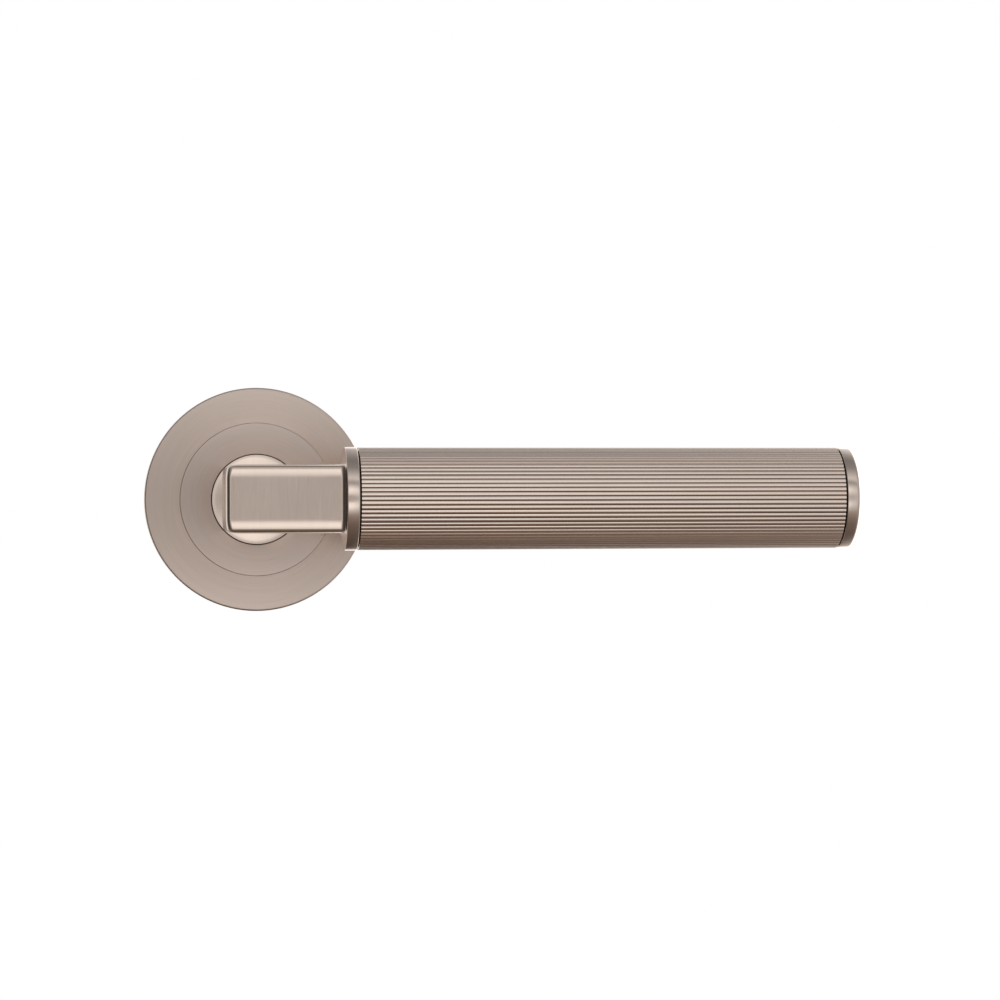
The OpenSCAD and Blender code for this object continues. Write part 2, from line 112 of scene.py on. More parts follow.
# Neck: journal and foot about the spindle, square post and bar, collar and spigot
journal_r = 8.0
journal_back = 0.25
journal_flat = 6.8
groove_depth = 0.4
foot_r = bush_hi[0] - seam_gap
foot_back = bush_hi[2] + 0.1
foot_front = rose_front + 1.2
foot_dome = 60.0
foot_edge = 0.1
bar_half = 7.3
bar_front = axis_z + bar_half
bar_back = axis_z - bar_half
bar_corner_r = 0.95
bar_soft = 2.3
bend_inner_r = 4.0
bend_outer_r = 1.25
bar_overlap = 0.13
post_half = 8.2
post_lean = 0.45
post_start = disc_front + 0.2
flare = 1.4
flare_end = 86
flare_room = 0.35
collar_r = neck_hi[1]
collar_x = 17.2
collar_end = seam_lo[0]
collar_edge = 0.2
spigot_r = 8.0
spigot_bevel = 0.5

# Through bolts and wood screws
bolt_r = 2.0
shoulder_r = 2.4
bolt_pitch = 0.7
bolt_thread = 0.4
bolt_head_r = 3.5
bolt_x = bolt_hi[0] - bolt_head_r
bolt_seat = bolt_hi[2] - 2.6
slot_half, slot_depth = 0.5, 1.2
screw_r = 1.75
screw_pitch = 1.6
screw_thread = 0.6
screw_head_r = 3.5
screw_y = screw_hi[1] - screw_head_r
cross_long, cross_half, cross_depth = 1.7, 0.4, 1.15

# Return spring: a coil between the leg in the cam and the leg in the plate
wire_r = 0.65
coil_turns = 1.75
coil_r = 12.38
bend_r = 1.3
rest_turn = 112.5
coil_z0, coil_z1 = 4.33, 6.74
leg_tip_z = 2.13
leg_out_r = 16.03


# ---- shapes ----

def put_on_door(points):
    """Turns drawing points in millimetres upright, in metres: (x, y, z) becomes (x, -z, y)."""
    points = np.asarray(points, float)
    return np.stack([points[..., 0], -points[..., 2], points[..., 1]], -1) * MM


def grid_faces(rows, cols, wrap_rows, wrap_cols):
    """Four-sided faces between neighbours of a grid numbered row by row, closed on itself
    along the rows, the columns or both."""
    i, j = np.meshgrid(
        np.arange(rows if wrap_rows else rows - 1),
        np.arange(cols if wrap_cols else cols - 1),
        indexing="ij",
    )
    below, right = (i + 1) % rows, (j + 1) % cols
    quads = [i * cols + j, below * cols + j, below * cols + right, i * cols + right]
    return np.stack(quads, -1).reshape(-1, 4)


def shown(name, mesh, sharp=28):
    """An object for a finished mesh: smooth, with edges sharper than the angle left sharp."""
    mesh.shade_smooth()
    mesh.set_sharp_from_angle(angle=math.radians(sharp))
    piece = bpy.data.objects.new(name, mesh)
    bpy.context.scene.collection.objects.link(piece)
    return piece


def make_piece(name, points, faces, fans=(), sharp=28):
    """A mesh from grid points and four-sided faces. Each fan is a ring of vertex numbers and
    the point they meet in. The faces are turned outwards, which is when the sum of the
    volumes between each face and the origin is positive."""
    points = put_on_door(points).reshape(-1, 3)
    every = [np.asarray(faces)]
    for ring, tip in fans:
        tip_number = len(points)
        points = np.vstack([points, put_on_door(tip)])
        ring = np.asarray(ring)
        nexts = np.roll(ring, -1)
        every.append(np.stack([ring, nexts, np.full(len(ring), tip_number)], -1))
    volume = 0
    for group in every:
        a, b, c = (points[group[:, k]] for k in range(3))
        volume += np.einsum("ij,ij->i", a, np.cross(b, c)).sum()
        if group.shape[1] == 4:
            d = points[group[:, 3]]
            volume += np.einsum("ij,ij->i", a, np.cross(c, d)).sum()
    if volume < 0:
        every = [group[:, ::-1] for group in every]
    mesh = bpy.data.meshes.new(name)
    mesh.from_pydata(points.tolist(), [], [f for group in every for f in group.tolist()])
    mesh.validate()
    return shown(name, mesh, sharp)


def stacked(name, points, tips, sharp=28):
    """A solid from rings laid one after the other, anticlockwise when seen from the end. Each
    end closes in a fan that meets in its tip."""
    rows, cols = points.shape[:2]
    first = np.arange(cols)
    last = first + (rows - 1) * cols
    fans = [(first[::-1], [tips[0]]), (last, [tips[1]])]
    return make_piece(name, points, grid_faces(rows, cols, False, True)[:, ::-1], fans, sharp)


def rounded(corner_points, radii, steps=6):
    """A closed outline through the given corners, each replaced by an arc of its radius. The
    arc touches both sides at radius / tan(half the corner's angle) from the corner."""
    pts = np.asarray(corner_points, float)
    out = []
    for before, here, after, radius in zip(
        np.roll(pts, 1, 0), pts, np.roll(pts, -1, 0), radii
    ):
        if radius <= 0:
            out.append(here[None])
            continue
        u, v = before - here, after - here
        u, v = u / np.linalg.norm(u), v / np.linalg.norm(v)
        half = math.acos(np.clip(u @ v, -1, 1)) / 2
        middle = here + (u + v) / np.linalg.norm(u + v) * radius / math.sin(half)
        start = here + u * radius / math.tan(half) - middle
        end = here + v * radius / math.tan(half) - middle
        share = np.linspace(0, 1, steps + 1)[:, None]
        sweep = math.pi - 2 * half
        arc = (np.sin((1 - share) * sweep) * start + np.sin(share * sweep) * end)
        out.append(middle + arc / math.sin(sweep))
    return np.vstack(out)


def carried_round(outline, turns, about):
    """A closed outline of (radius, height) points carried once round an axis: about the
    spindle (x = r cos a, y = r sin a, z = h) or about the grip (x = h, with r cos a out of
    the door from the grip's axis and r sin a down)."""
    a = np.arange(turns) * 2 * math.pi / turns
    r, h = outline[:, None, 0], outline[:, None, 1]
    along = h + 0 * a
    if about == "spindle":
        return np.stack([r * np.cos(a), r * np.sin(a), along], -1)
    return np.stack([along, r * np.sin(a), axis_z + r * np.cos(a)], -1)


def turned(name, outline, turns=192, about="spindle", sharp=28):
    """A ring-shaped piece: its closed outline carried round, so both ways close."""
    pts = carried_round(outline, turns, about)
    return make_piece(name, pts, grid_faces(len(outline), turns, True, True), sharp=sharp)


def turned_solid(name, outline, tips, turns=192, about="spindle", sharp=28):
    """A solid of revolution: an open outline carried round, and closed at both ends by a fan
    that meets on the axis at the two heights."""
    if about == "spindle":
        ends = [[0, 0, tip] for tip in tips]
    else:
        ends = [[tip, 0, axis_z] for tip in tips]
    return stacked(name, carried_round(outline, turns, about), ends, sharp)


def softened_square(half, corner_r, soft, tilt=11.0):
    """A square outline with rounded corners whose sides start to fall away before the
    corner. It is drawn by its heading: straight, then turning slowly through the tilt over
    the soft length, quickly through the corner, slowly again, and straight. The points are
    the running sum of the heading's cosine and sine."""
    tilt = math.radians(tilt)
    quick = math.pi / 2 - 2 * tilt
    flat = half
    for _ in range(20):
        lengths = np.array([flat, soft, corner_r * quick, soft, flat])
        cuts = np.r_[0, np.cumsum(lengths)]
        s = np.unique(np.r_[
            0, cuts[1] * 0.5,
            np.linspace(cuts[1], cuts[2], 7),
            np.linspace(cuts[2], cuts[3], 11),
            np.linspace(cuts[3], cuts[4], 7),
            cuts[4] + flat * 0.5, cuts[5],
        ])
        fine = np.linspace(0, cuts[5], 4001)
        heading = np.interp(fine, cuts, [0, 0, tilt, tilt + quick, math.pi / 2, math.pi / 2])
        step = fine[1] - fine[0]
        mid = (heading[1:] + heading[:-1]) / 2
        x = np.r_[0, np.cumsum(np.cos(mid)) * step]
        y = np.r_[0, np.cumsum(np.sin(mid)) * step]
        flat += half - x[-1]
    quarter = np.stack([np.interp(s, fine, x), np.interp(s, fine, y) - half], -1)[:-1]
    turn = np.array([[0, -1], [1, 0]])
    sides = [quarter]
    for _ in range(3):
        sides.append(sides[-1] @ turn.T)
    return np.vstack(sides)


def neck_bar(name):
    """The square bar that leaves the foot, bends at a right angle and runs to the collar.
    Two lines are laid in the plane of the bend, one along its inner side and one along its
    outer side, each straight, round and straight again. A section's points lie between the
    two lines by depth and stand above or below the plane by height, and near the collar each
    section grows by a quarter circle's rise, so the bar flares into the collar."""
    section = softened_square(bar_half, bar_corner_r, bar_soft)
    end_x = collar_x + bar_overlap
    arc = np.radians(np.linspace(0, 90, 17))
    rise = np.radians(np.linspace(0, flare_end, 12))

    def side(x0, corner_r, z_face):
        cx, cz = x0 + corner_r, z_face - corner_r
        up = np.linspace(post_start, cz, 6)[:-1]
        bend = np.stack([cx - corner_r * np.cos(arc), cz + corner_r * np.sin(arc)], -1)
        along = np.linspace(cx, end_x - flare, 7)[1:-1]
        straight = np.r_[along, end_x - flare + flare * np.sin(rise)]
        return np.vstack([
            np.stack([np.full(len(up), x0), up], -1), bend,
            np.stack([straight, np.full(len(straight), z_face)], -1),
        ])

    outer = side(-post_half, bend_outer_r, bar_front)
    # The post's outer side leans in a little towards the door
    outer[:, 0] += post_lean * np.clip((bar_front - outer[:, 1]) / (bar_front - post_start), 0, 1)
    inner = side(post_half, bend_inner_r, bar_back)
    grow = np.zeros(len(outer))
    grow[-len(rise):] = flare * (1 - np.cos(rise))
    # In a section, height is above the plane and depth is towards the outer line
    height, depth = section[:, 0], -section[:, 1]
    across = outer - inner
    span = np.linalg.norm(across, axis=1, keepdims=True)
    middle = (outer + inner) / 2
    unit = across / span
    # Near a face the distance to that face is kept, so the rounding stays round in the bend
    near_outer = bar_half - depth
    share = near_outer / (2 * bar_half)
    gap = share * (span - 2 * bar_half)
    shift = span / 2 - near_outer - gap
    grown = 1 + grow[:, None] / bar_half
    flat = middle[:, None] + unit[:, None] * (shift * grown)[..., None]
    pts = np.stack([flat[..., 0], height * grown, flat[..., 1]], -1)
    # The flare stays inside the collar's rim
    off = pts[..., 1:] - [0, axis_z]
    far = np.linalg.norm(off, axis=-1)
    limit = np.where(grow[:, None] > 0, collar_r - flare_room, 1e9)
    pts[..., 1:] = [0, axis_z] + off * np.minimum(1, limit / far)[..., None]
    return stacked(name, pts, (pts[0].mean(0), pts[-1].mean(0)))


def joined(name, pieces, cutters):
    """One closed solid: the pieces made one, then everything in the cutters taken away."""
    base = pieces[0]
    for other, how in [(p, "UNION") for p in pieces[1:]] + [(c, "DIFFERENCE") for c in cutters]:
        cut = base.modifiers.new(how, "BOOLEAN")
        cut.operation, cut.solver, cut.object = how, "EXACT", other
    bpy.context.view_layer.update()
    done = base.evaluated_get(bpy.context.evaluated_depsgraph_get())
    mesh = bpy.data.meshes.new_from_object(done)
    mesh.name = name
    for old in [*pieces, *cutters]:
        bpy.data.objects.remove(old)
    return shown(name, mesh)


def prism(name, x, y, z):
    """A block between two values on each axis, used only to cut."""
    pts = np.array([[a, b, c] for a in x for b in y for c in z])
    faces = [[0, 1, 3, 2], [4, 6, 7, 5], [0, 4, 5, 1], [2, 3, 7, 6], [0, 2, 6, 4], [1, 5, 7, 3]]
    return make_piece(name, pts, np.array(faces))


def bore(name, radius, start, end, turns=64):
    """A round bar from one point to another, used only to cut: a circle carried along. The
    circle starts off the axes, so its corners miss the spokes of the end faces it opens."""
    start, end = np.asarray(start, float), np.asarray(end, float)
    along = (end - start) / np.linalg.norm(end - start)
    guide = np.array([0, 1, 0]) if abs(along[1]) < 0.9 else np.array([1, 0, 0])
    u = np.cross(along, guide)
    v = np.cross(along, u)
    a = (np.arange(turns)[:, None] + 0.4) * 2 * math.pi / turns
    circle = radius * (np.cos(a) * u + np.sin(a) * v)
    return stacked(name, np.stack([start + circle, end + circle]), (start, end))


def reeded_sleeve(name):
    """The reeded tube. Going round, each reed is a rounded crest, whose drop below the full
    radius grows with the square of the distance from its middle, and a steep-sided groove
    lies between two. Going along, it is a closed outline: the outside, a small bevel at each
    end, the end faces, the bore and the wider step for the plug."""
    half = reed_crest / 2
    crest = np.linspace(-half, half, 11)
    groove = 0.5
    wall = (half + groove) / 2
    per_reed = np.r_[crest, wall, groove, 1 - wall]
    drop = np.r_[reed_round * (crest / half) ** 2,
                 reed_depth * np.array([0.75, 1, 0.75])]
    turns = (np.arange(reeds)[:, None] + per_reed).ravel() * 2 * math.pi / reeds
    skin = np.tile(grip_r - drop, reeds)
    bevel = 0.08
    inside = np.full_like(skin, bore_r)
    step = np.full_like(skin, step_r)
    tip = np.minimum(skin, grip_r - reed_round - bevel)
    shoulder = plug_lo[0] - 0.01
    rows = [
        (grip_x0, inside), (grip_x0, tip), (grip_x0 + bevel, skin),
        *[(x, skin) for x in np.linspace(grip_x0, grip_x1, 9)[1:-1]],
        (grip_x1 - bevel, skin), (grip_x1, tip), (grip_x1, step),
        (shoulder, step), (shoulder, inside),
    ]
    x = np.array([row[0] for row in rows])[:, None] + 0 * skin
    r = np.array([row[1] for row in rows])
    pts = np.stack([x, r * np.sin(turns), axis_z + r * np.cos(turns)], -1)
    return make_piece(name, pts, grid_faces(len(rows), len(turns), True, True), sharp=24)


# ---- rose ----

def rose_cover():
    """Cup with a rounded front edge and a round opening for the disc."""
    opening = disc_r + 0.03
    back, front = rose_lo[2], rose_front
    inside_r, inside = rose_r - rose_wall, front - rose_wall
    outline = rounded(
        [[rose_r, back], [rose_r, front], [opening, front], [opening, inside],
         [inside_r, inside], [inside_r, back]],
        [0.15, rose_edge, 0.05, 0.1, 0.2, 0.15],
    )
    return turned("rose_cover", outline)


def rose_disc():
    """Inner disc, standing a little above the cover, with its hidden flange."""
    back = disc_lo[2]
    outline = rounded(
        [[disc_r + disc_rim, back], [disc_r + disc_rim, back + disc_flange],
         [disc_r, back + disc_flange], [disc_r, disc_front],
         [disc_hole_r, disc_front], [disc_hole_r, back]],
        [0.05, 0.05, 0.05, 0.09, 0.08, 0.05],
    )
    return turned("rose_disc", outline)


def lever_neck():
    """The cast neck: journal and foot about the spindle, square bar, collar and spigot."""
    groove_r = journal_r - groove_depth
    groove_lo, groove_hi = clip_lo[2] - hole_gap, clip_hi[2] + hole_gap
    dome_z = foot_front - foot_dome
    dome_edge = dome_z + math.sqrt(foot_dome**2 - foot_r**2)
    across = np.linspace(foot_r - 2 * foot_edge, 0.5, 12)
    foot = turned_solid("foot", np.vstack([
        [[journal_r, journal_back], [journal_r, groove_lo], [groove_r, groove_lo],
         [groove_r, groove_hi], [journal_r, groove_hi], [journal_r, foot_back]],
        rounded([[foot_r, foot_back], [foot_r, dome_edge], [0, dome_edge], [0, foot_back]],
                [foot_edge, foot_edge, 0, 0])[:-2],
        np.stack([across, dome_z + np.sqrt(foot_dome**2 - across**2)], -1),
    ]), (journal_back, foot_front))
    collar = turned_solid("collar", np.vstack([
        rounded([[collar_r, collar_x], [collar_r, collar_end], [0, collar_end], [0, collar_x]],
                [collar_edge, collar_edge, 0, 0])[:-2],
        [[spigot_r, collar_end], [spigot_r, neck_hi[0] - spigot_bevel],
         [spigot_r - spigot_bevel, neck_hi[0]]],
    ]), (collar_x, neck_hi[0]), about="grip")

    # Cutters run past the surfaces that they open into
    past = 1
    hole = spindle_hi[0] + 0.05
    hole_end = spindle_hi[2] + 0.2
    clear = journal_r + past
    grub_z = (grub_lo[2] + grub_hi[2]) / 2
    grub_r = (grub_hi[2] - grub_lo[2]) / 2
    pin_y = (pin_lo[1] + pin_hi[1]) / 2
    pin_r = (pin_hi[1] - pin_lo[1]) / 2
    cutters = [
        prism("hole", (-hole, hole), (-hole, hole), (-past, hole_end)),
        prism("flat_up", (-clear, clear), (journal_flat, clear), (-past, cam_hi[2])),
        prism("flat_down", (-clear, clear), (-clear, -journal_flat), (-past, cam_hi[2])),
        bore("set_screw_hole", grub_r + hole_gap, [0, -bar_half - past, grub_z],
             [0, 0, grub_z]),
        bore("tie_hole", rod_hi[1] + hole_gap, [rod_lo[0] - 0.5, 0, axis_z],
             [neck_hi[0] + past, 0, axis_z]),
        bore("pin_hole", pin_r + hole_gap, [pin_lo[0] - 0.1, pin_y, axis_z],
             [collar_end + past, pin_y, axis_z], 32),
    ]
    return joined("lever_neck", [foot, neck_bar("bar"), collar], cutters)


def end_disc():
    """The plain end cap: a disc with a rounded outer edge and a short ring inside."""
    face_x, back_x, ring_x = cap_hi[0], seam_hi[0], cap_lo[0]
    ring_r, nut_room, bevel = step_r - 0.05, nut_hi[1] + 1.6, 0.2
    room_end = back_x + 0.1
    outline = np.vstack([
        rounded([[0, face_x], [grip_r, face_x], [grip_r, back_x], [0, back_x]],
                [0, cap_edge, 0.15, 0], 10)[1:-1],
        [[ring_r, back_x], [ring_r, ring_x + bevel], [ring_r - bevel, ring_x],
         [nut_room, ring_x], [nut_room, room_end]],
    ])
    return turned_solid("end_disc", outline, (face_x, room_end), about="grip")


# ---- parts behind the rose and inside the lever ----

def screw_shape(name, at, rows, pitch, depth, cutters, steep=1.2, turns=36):
    """A screw standing along z: rows of (radius, height, share of thread). Round the axis the
    radius drops by the thread's depth times a V wave of height / pitch - turn, which is a
    helix of one start. A steep wave is cut off at its full depth, which leaves a flat root.
    Both ends close in a point on the axis."""
    rows = np.array(rows, float)
    a = np.arange(turns) * 2 * math.pi / turns
    wave = np.abs((rows[:, 1, None] / pitch - a / (2 * math.pi)) % 1 * 2 - 1)
    wave = np.clip(wave * steep, 0, 1)
    r = rows[:, 0, None] - rows[:, 2, None] * depth * wave
    high = rows[:, 1, None] + 0 * a
    pts = np.stack([at[0] + r * np.cos(a), at[1] + r * np.sin(a), high], -1)
    body = stacked(name, pts, ([*at, rows[0, 1]], [*at, rows[-1, 1]]))
    return joined(name, [body], cutters)


def threaded_rows(radius, start, end, pitch, per_pitch=6):
    """Rows so many to a pitch, full thread but for a run-in of one pitch at both ends."""
    high = np.arange(start, end, pitch / per_pitch)
    share = np.clip(np.minimum(high - start, end - high) / pitch, 0, 1)
    return np.stack([np.full(len(high), radius), high, share], -1).tolist()


def together(name, pieces):
    """Closed pieces that don't touch, kept as one object."""
    every = bmesh.new()
    for piece in pieces:
        every.from_mesh(piece.data)
        bpy.data.objects.remove(piece)
    mesh = bpy.data.meshes.new(name)
    every.to_mesh(mesh)
    every.free()
    return shown(name, mesh)


def fixing_bolts():
    """The two through bolts: rolled thread, plain shoulder and slotted cheese head."""
    made = []
    for side in (-1, 1):
        x = side * bolt_x
        rows = [
            [bolt_r * 0.5, bolt_lo[2], 0], [bolt_r * 0.8, bolt_lo[2] + 0.6, 0],
            *threaded_rows(bolt_r, bolt_lo[2] + 1, -0.7, bolt_pitch),
            [bolt_r, -0.6, 0], [shoulder_r, -0.5, 0], [shoulder_r, bolt_seat, 0],
            [bolt_head_r - 0.1, bolt_seat + 0.02, 0], [bolt_head_r, bolt_seat + 0.12, 0],
            [bolt_head_r, bolt_hi[2] - 0.3, 0], [bolt_head_r - 0.3, bolt_hi[2], 0],
        ]
        slot = prism("slot", (x - 5, x + 5), (-slot_half, slot_half),
                     (bolt_hi[2] - slot_depth, bolt_hi[2] + 1))
        made.append(screw_shape("bolt", (x, 0), rows, bolt_pitch, bolt_thread, [slot]))
    return together("fixing_bolts", made)


def rose_screws():
    """The two wood screws: sharp coarse thread, plain neck and countersunk cross head."""
    made = []
    tip, top = screw_lo[2], screw_hi[2]
    for side in (-1, 1):
        y = side * screw_y
        rows = [
            [0.1, tip, 0], [screw_r * 0.7, tip + 1.6, 0.3],
            *threaded_rows(screw_r, tip + 2, -4, screw_pitch, 12),
            [screw_r - 0.15, -3.9, 0], [screw_r - 0.05, -3.4, 0], [screw_r, -3, 0],
            [screw_r, top - screw_r, 0], [screw_head_r, top - 0.15, 0],
            [screw_head_r - 0.05, top, 0],
        ]
        cross = [prism("cut", (-wide, wide), (y - high, y + high), (top - cross_depth, top + 1))
                 for wide, high in ((cross_long, cross_half), (cross_half, cross_long))]
        made.append(screw_shape("screw", (0, y), rows, screw_pitch, screw_thread, cross, 2))
    return together("rose_screws", made)


def wound_spring():
    """A round wire swept along its centre line: a leg that stands in the cam, a quarter bend,
    one and three quarter turns rising evenly, a quarter bend outwards and the outer leg."""
    arc_turn = bend_r / coil_r
    bend = np.radians(np.linspace(0, 90, 9))[:-1]
    start, stop = math.radians(rest_turn), math.radians(rest_turn + 360 * coil_turns)

    def on_coil(turn, r, side, z):
        turn, r, side, z = np.broadcast_arrays(turn, r, side, z)
        return np.stack([r * np.cos(turn) - side * np.sin(turn),
                         r * np.sin(turn) + side * np.cos(turn), z], -1)

    share = np.linspace(0, 1, 161)
    path = np.vstack([
        on_coil(start, coil_r, 0, np.array([leg_tip_z])),
        on_coil(start + arc_turn * (1 - np.cos(bend)), coil_r, 0,
                coil_z0 - bend_r * (1 - np.sin(bend))),
        on_coil(start + arc_turn + share * (stop - start - arc_turn), coil_r, 0,
                coil_z0 + share * (coil_z1 - coil_z0)),
        on_coil(stop, coil_r + bend_r * (1 - np.cos(bend[1:])), bend_r * np.sin(bend[1:]),
                coil_z1),
        on_coil(stop, np.array([coil_r + bend_r, coil_r + bend_r + 1, leg_out_r]), bend_r,
                coil_z1),
    ])
    along = np.gradient(path, axis=0)
    along /= np.linalg.norm(along, axis=1, keepdims=True)
    radial = path * [1, 1, 0]
    radial /= np.linalg.norm(radial, axis=1, keepdims=True)
    # The guide keeps the sections from twisting. It points away from the spindle's axis, and
    # where the wire itself does so, in the outer leg, it points out of the door
    lean = np.clip((np.abs((along * radial).sum(1)) - 0.5) / 0.4, 0, 1)[:, None]
    guide = radial * (1 - lean) + np.array([0, 0, 1]) * lean
    u = np.cross(along, guide)
    u /= np.linalg.norm(u, axis=1, keepdims=True)
    v = np.cross(along, u)
    a = np.arange(16)[:, None] * 2 * math.pi / 16
    pts = path[:, None] + wire_r * (np.cos(a) * u[:, None] + np.sin(a) * v[:, None])
    return stacked("wound_spring", pts, (path[0], path[-1]), sharp=50)


def drawn_spindle():
    """The square bar: one rounded square carried along, each section scaled by its share of
    the full size, which is less at both ends."""
    half, corner_r = spindle_hi[0], 0.5
    section = rounded([[half, -half], [half, half], [-half, half], [-half, -half]],
                      [corner_r] * 4)
    back, front = spindle_lo[2], spindle_hi[2]
    middle = np.linspace(back, front, 9)[1:-1]
    high = np.r_[back, back + 0.8, middle, front - 0.5, front]
    share = np.r_[0.86, np.ones(len(middle) + 2), 0.92]
    across = share[:, None, None] * section
    along = np.broadcast_to(high[:, None, None], (*across.shape[:2], 1))
    pts = np.concatenate([across, along], -1)
    return stacked("drawn_spindle", pts, ([0, 0, back], [0, 0, front]))


cover = rose_cover()
disc = rose_disc()
neck = lever_neck()
sleeve = reeded_sleeve("reeded_grip")
cap = end_disc()
bolts = fixing_bolts()
screws = rose_screws()
spring = wound_spring()
square_bar = drawn_spindle()

for piece, node, body, slot in (
    (cover, "outer_rose", "root", "satin_nickel"),
    (disc, "inner_rose", "root", "satin_nickel"),
    (neck, "neck", "lever", "satin_nickel"),
    (sleeve, "grip_sleeve", "lever", "satin_nickel"),
    (cap, "end_cap", "lever", "satin_nickel"),
    (bolts, "through_bolts", "root", "zinc_plated_steel"),
    (screws, "wood_screws", "root", "zinc_plated_steel"),
    (square_bar, "spindle", "lever", "zinc_plated_steel"),
):
    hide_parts(node)
    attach(piece, body)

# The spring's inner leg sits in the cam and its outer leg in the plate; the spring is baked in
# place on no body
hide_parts("return_spring")
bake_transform(spring)


# ---- finishes ----

grip_axis = (0, -axis_z * MM, 0)


class Finish:
    """A material with its node tree at hand. Every pattern is worked out from Object
    coordinates, in metres."""

    def __init__(self, name, color, metallic, roughness):
        self.material = bpy.data.materials.new(name)
        self.material.use_nodes = True
        self.tree = self.material.node_tree
        self.shader = self.tree.nodes["Principled BSDF"]
        self.shader.inputs["Metallic"].default_value = metallic
        self.color, self.roughness = color, roughness
        self.place = self.tree.nodes.new("ShaderNodeTexCoord").outputs["Object"]

    def node(self, kind, **links):
        made = self.tree.nodes.new(kind)
        for name, value in links.items():
            self.put(made.inputs[name], value)
        return made

    def put(self, socket, value):
        if isinstance(value, bpy.types.NodeSocket):
            self.tree.links.new(value, socket)
        else:
            socket.default_value = value

    def math(self, operation, first, second=0.0):
        made = self.tree.nodes.new("ShaderNodeMath")
        made.operation = operation
        self.put(made.inputs[0], first)
        self.put(made.inputs[1], second)
        return made.outputs[0]

    def between(self, value, low, high, start=0.0, end=1.0):
        """A value that runs from start to end, run from low to high instead."""
        made = self.node("ShaderNodeMapRange", Value=value)
        for name, limit in (("From Min", start), ("From Max", end),
                            ("To Min", low), ("To Max", high)):
            made.inputs[name].default_value = limit
        return made.outputs[0]

    def noise(self, scale, detail=2.0, rough=0.5, at=None):
        """Cloudy noise, with its own scale along each axis. Coordinates may come with a
        fourth one, which takes the scale of the third."""
        vector, fourth = at if isinstance(at, tuple) else (at or self.place, None)
        stretch = self.node("ShaderNodeMapping", Vector=vector)
        stretch.inputs["Scale"].default_value = scale
        made = self.tree.nodes.new("ShaderNodeTexNoise")
        if fourth is not None:
            made.noise_dimensions = "4D"
            self.put(made.inputs["W"], self.math("MULTIPLY", fourth, scale[2]))
        self.put(made.inputs["Vector"], stretch.outputs[0])
        made.inputs["Scale"].default_value = 1
        made.inputs["Detail"].default_value = detail
        made.inputs["Roughness"].default_value = rough
        return made.outputs["Fac"]

    def around(self, axis, centre=(0, 0, 0)):
        """Coordinates for marks turned about an axis: distance along it, distance from it,
        and the turn as the cosine and the sine of its angle, so that nothing meets in a
        seam."""
        moved = self.node("ShaderNodeVectorMath")
        moved.operation = "SUBTRACT"
        self.put(moved.inputs[0], self.place)
        moved.inputs[1].default_value = centre
        part = self.node("ShaderNodeSeparateXYZ", Vector=moved.outputs[0])
        one, two = (part.outputs[n] for n in "XYZ" if n != axis)
        far = self.math("MAXIMUM", self.math("SQRT", self.math(
            "ADD", self.math("MULTIPLY", one, one), self.math("MULTIPLY", two, two))), 1e-6)
        made = self.node("ShaderNodeCombineXYZ", X=part.outputs[axis], Y=far,
                         Z=self.math("DIVIDE", one, far))
        return made.outputs[0], self.math("DIVIDE", two, far)

    def tint(self, *layers):
        """Multiplies the base colour by each grey layer."""
        value = None
        for layer in layers:
            value = layer if value is None else self.math("MULTIPLY", value, layer)
        made = self.node("ShaderNodeVectorMath")
        made.operation = "SCALE"
        made.inputs[0].default_value = self.color
        self.put(made.inputs["Scale"], value)
        self.put(self.shader.inputs["Base Color"], made.outputs[0])

    def rough(self, *layers):
        """Adds each layer to the plain roughness."""
        value = self.roughness
        for layer in layers:
            value = self.math("ADD", layer, value)
        self.put(self.shader.inputs["Roughness"], value)

    def bump(self, layer, depth, strength=1.0):
        """Raises the surface by a layer, whose full height is the depth in metres."""
        made = self.node("ShaderNodeBump", Height=layer)
        made.inputs["Distance"].default_value = depth
        made.inputs["Strength"].default_value = strength
        self.put(self.shader.inputs["Normal"], made.outputs[0])


def satin_nickel(name, marks, roughness=0.25, color=(0.78, 0.65, 0.565), depth=2e-6,
                 painted_tone=None, strength=1.0):
    """Brushed nickel: fine marks that run one way, faint longer ones and soft patches. A
    function gives the marks' coordinates and the scales of both kinds, and the strength says
    how far they show. Where a painted tone is given, it paints shade darker in the hollows
    and a highlight lighter on the crests."""
    fin = Finish(name, color, 1, roughness)
    at, fine, long = marks(fin)
    lines = fin.noise(fine, 3, 0.7, at)
    broad = fin.noise(long, 2, 0.5, at)
    cloud = fin.noise((70, 70, 70), 3, 0.6)
    layers = [fin.between(lines, 1 - 0.12 * strength, 1 + 0.09 * strength),
              fin.between(broad, 1 - 0.05 * strength, 1 + 0.04 * strength),
              fin.between(cloud, 0.96, 1.03)]
    if painted_tone:
        layers.append(painted_tone(fin))
    fin.tint(*layers)
    fin.rough(fin.between(lines, -0.05 * strength, 0.06 * strength),
              fin.between(cloud, -0.04, 0.05))
    fin.bump(lines, depth)
    return fin


def turned_on_spindle(fin):
    """Marks of a lathe about the spindle: fine across the radius, long round it."""
    return fin.around("Y"), (300, 9000, 1.6), (100, 1500, 0.8)


def brushed_round_grip(fin):
    """Marks round the grip's axis: fine along it, long round it."""
    return fin.around("X", grip_axis), (7000, 60, 2.4), (1400, 40, 1.0)


def drawn_along_grip(fin):
    """Marks along the grip, left by drawing the tube."""
    return None, (90, 9000, 9000), (20, 1500, 1500)


def reed_painted_shade_and_highlight(fin):
    """Painted shade and highlight by the distance from the grip's axis: painted shade in a
    groove, a painted highlight on a crest.
    """
    part = fin.node("ShaderNodeSeparateXYZ", Vector=fin.around("X", grip_axis)[0])
    groove, crest = (grip_r - reed_depth) * MM, (grip_r - 0.05) * MM
    return fin.between(part.outputs["Y"], 0.5, 1.2, groove, crest)


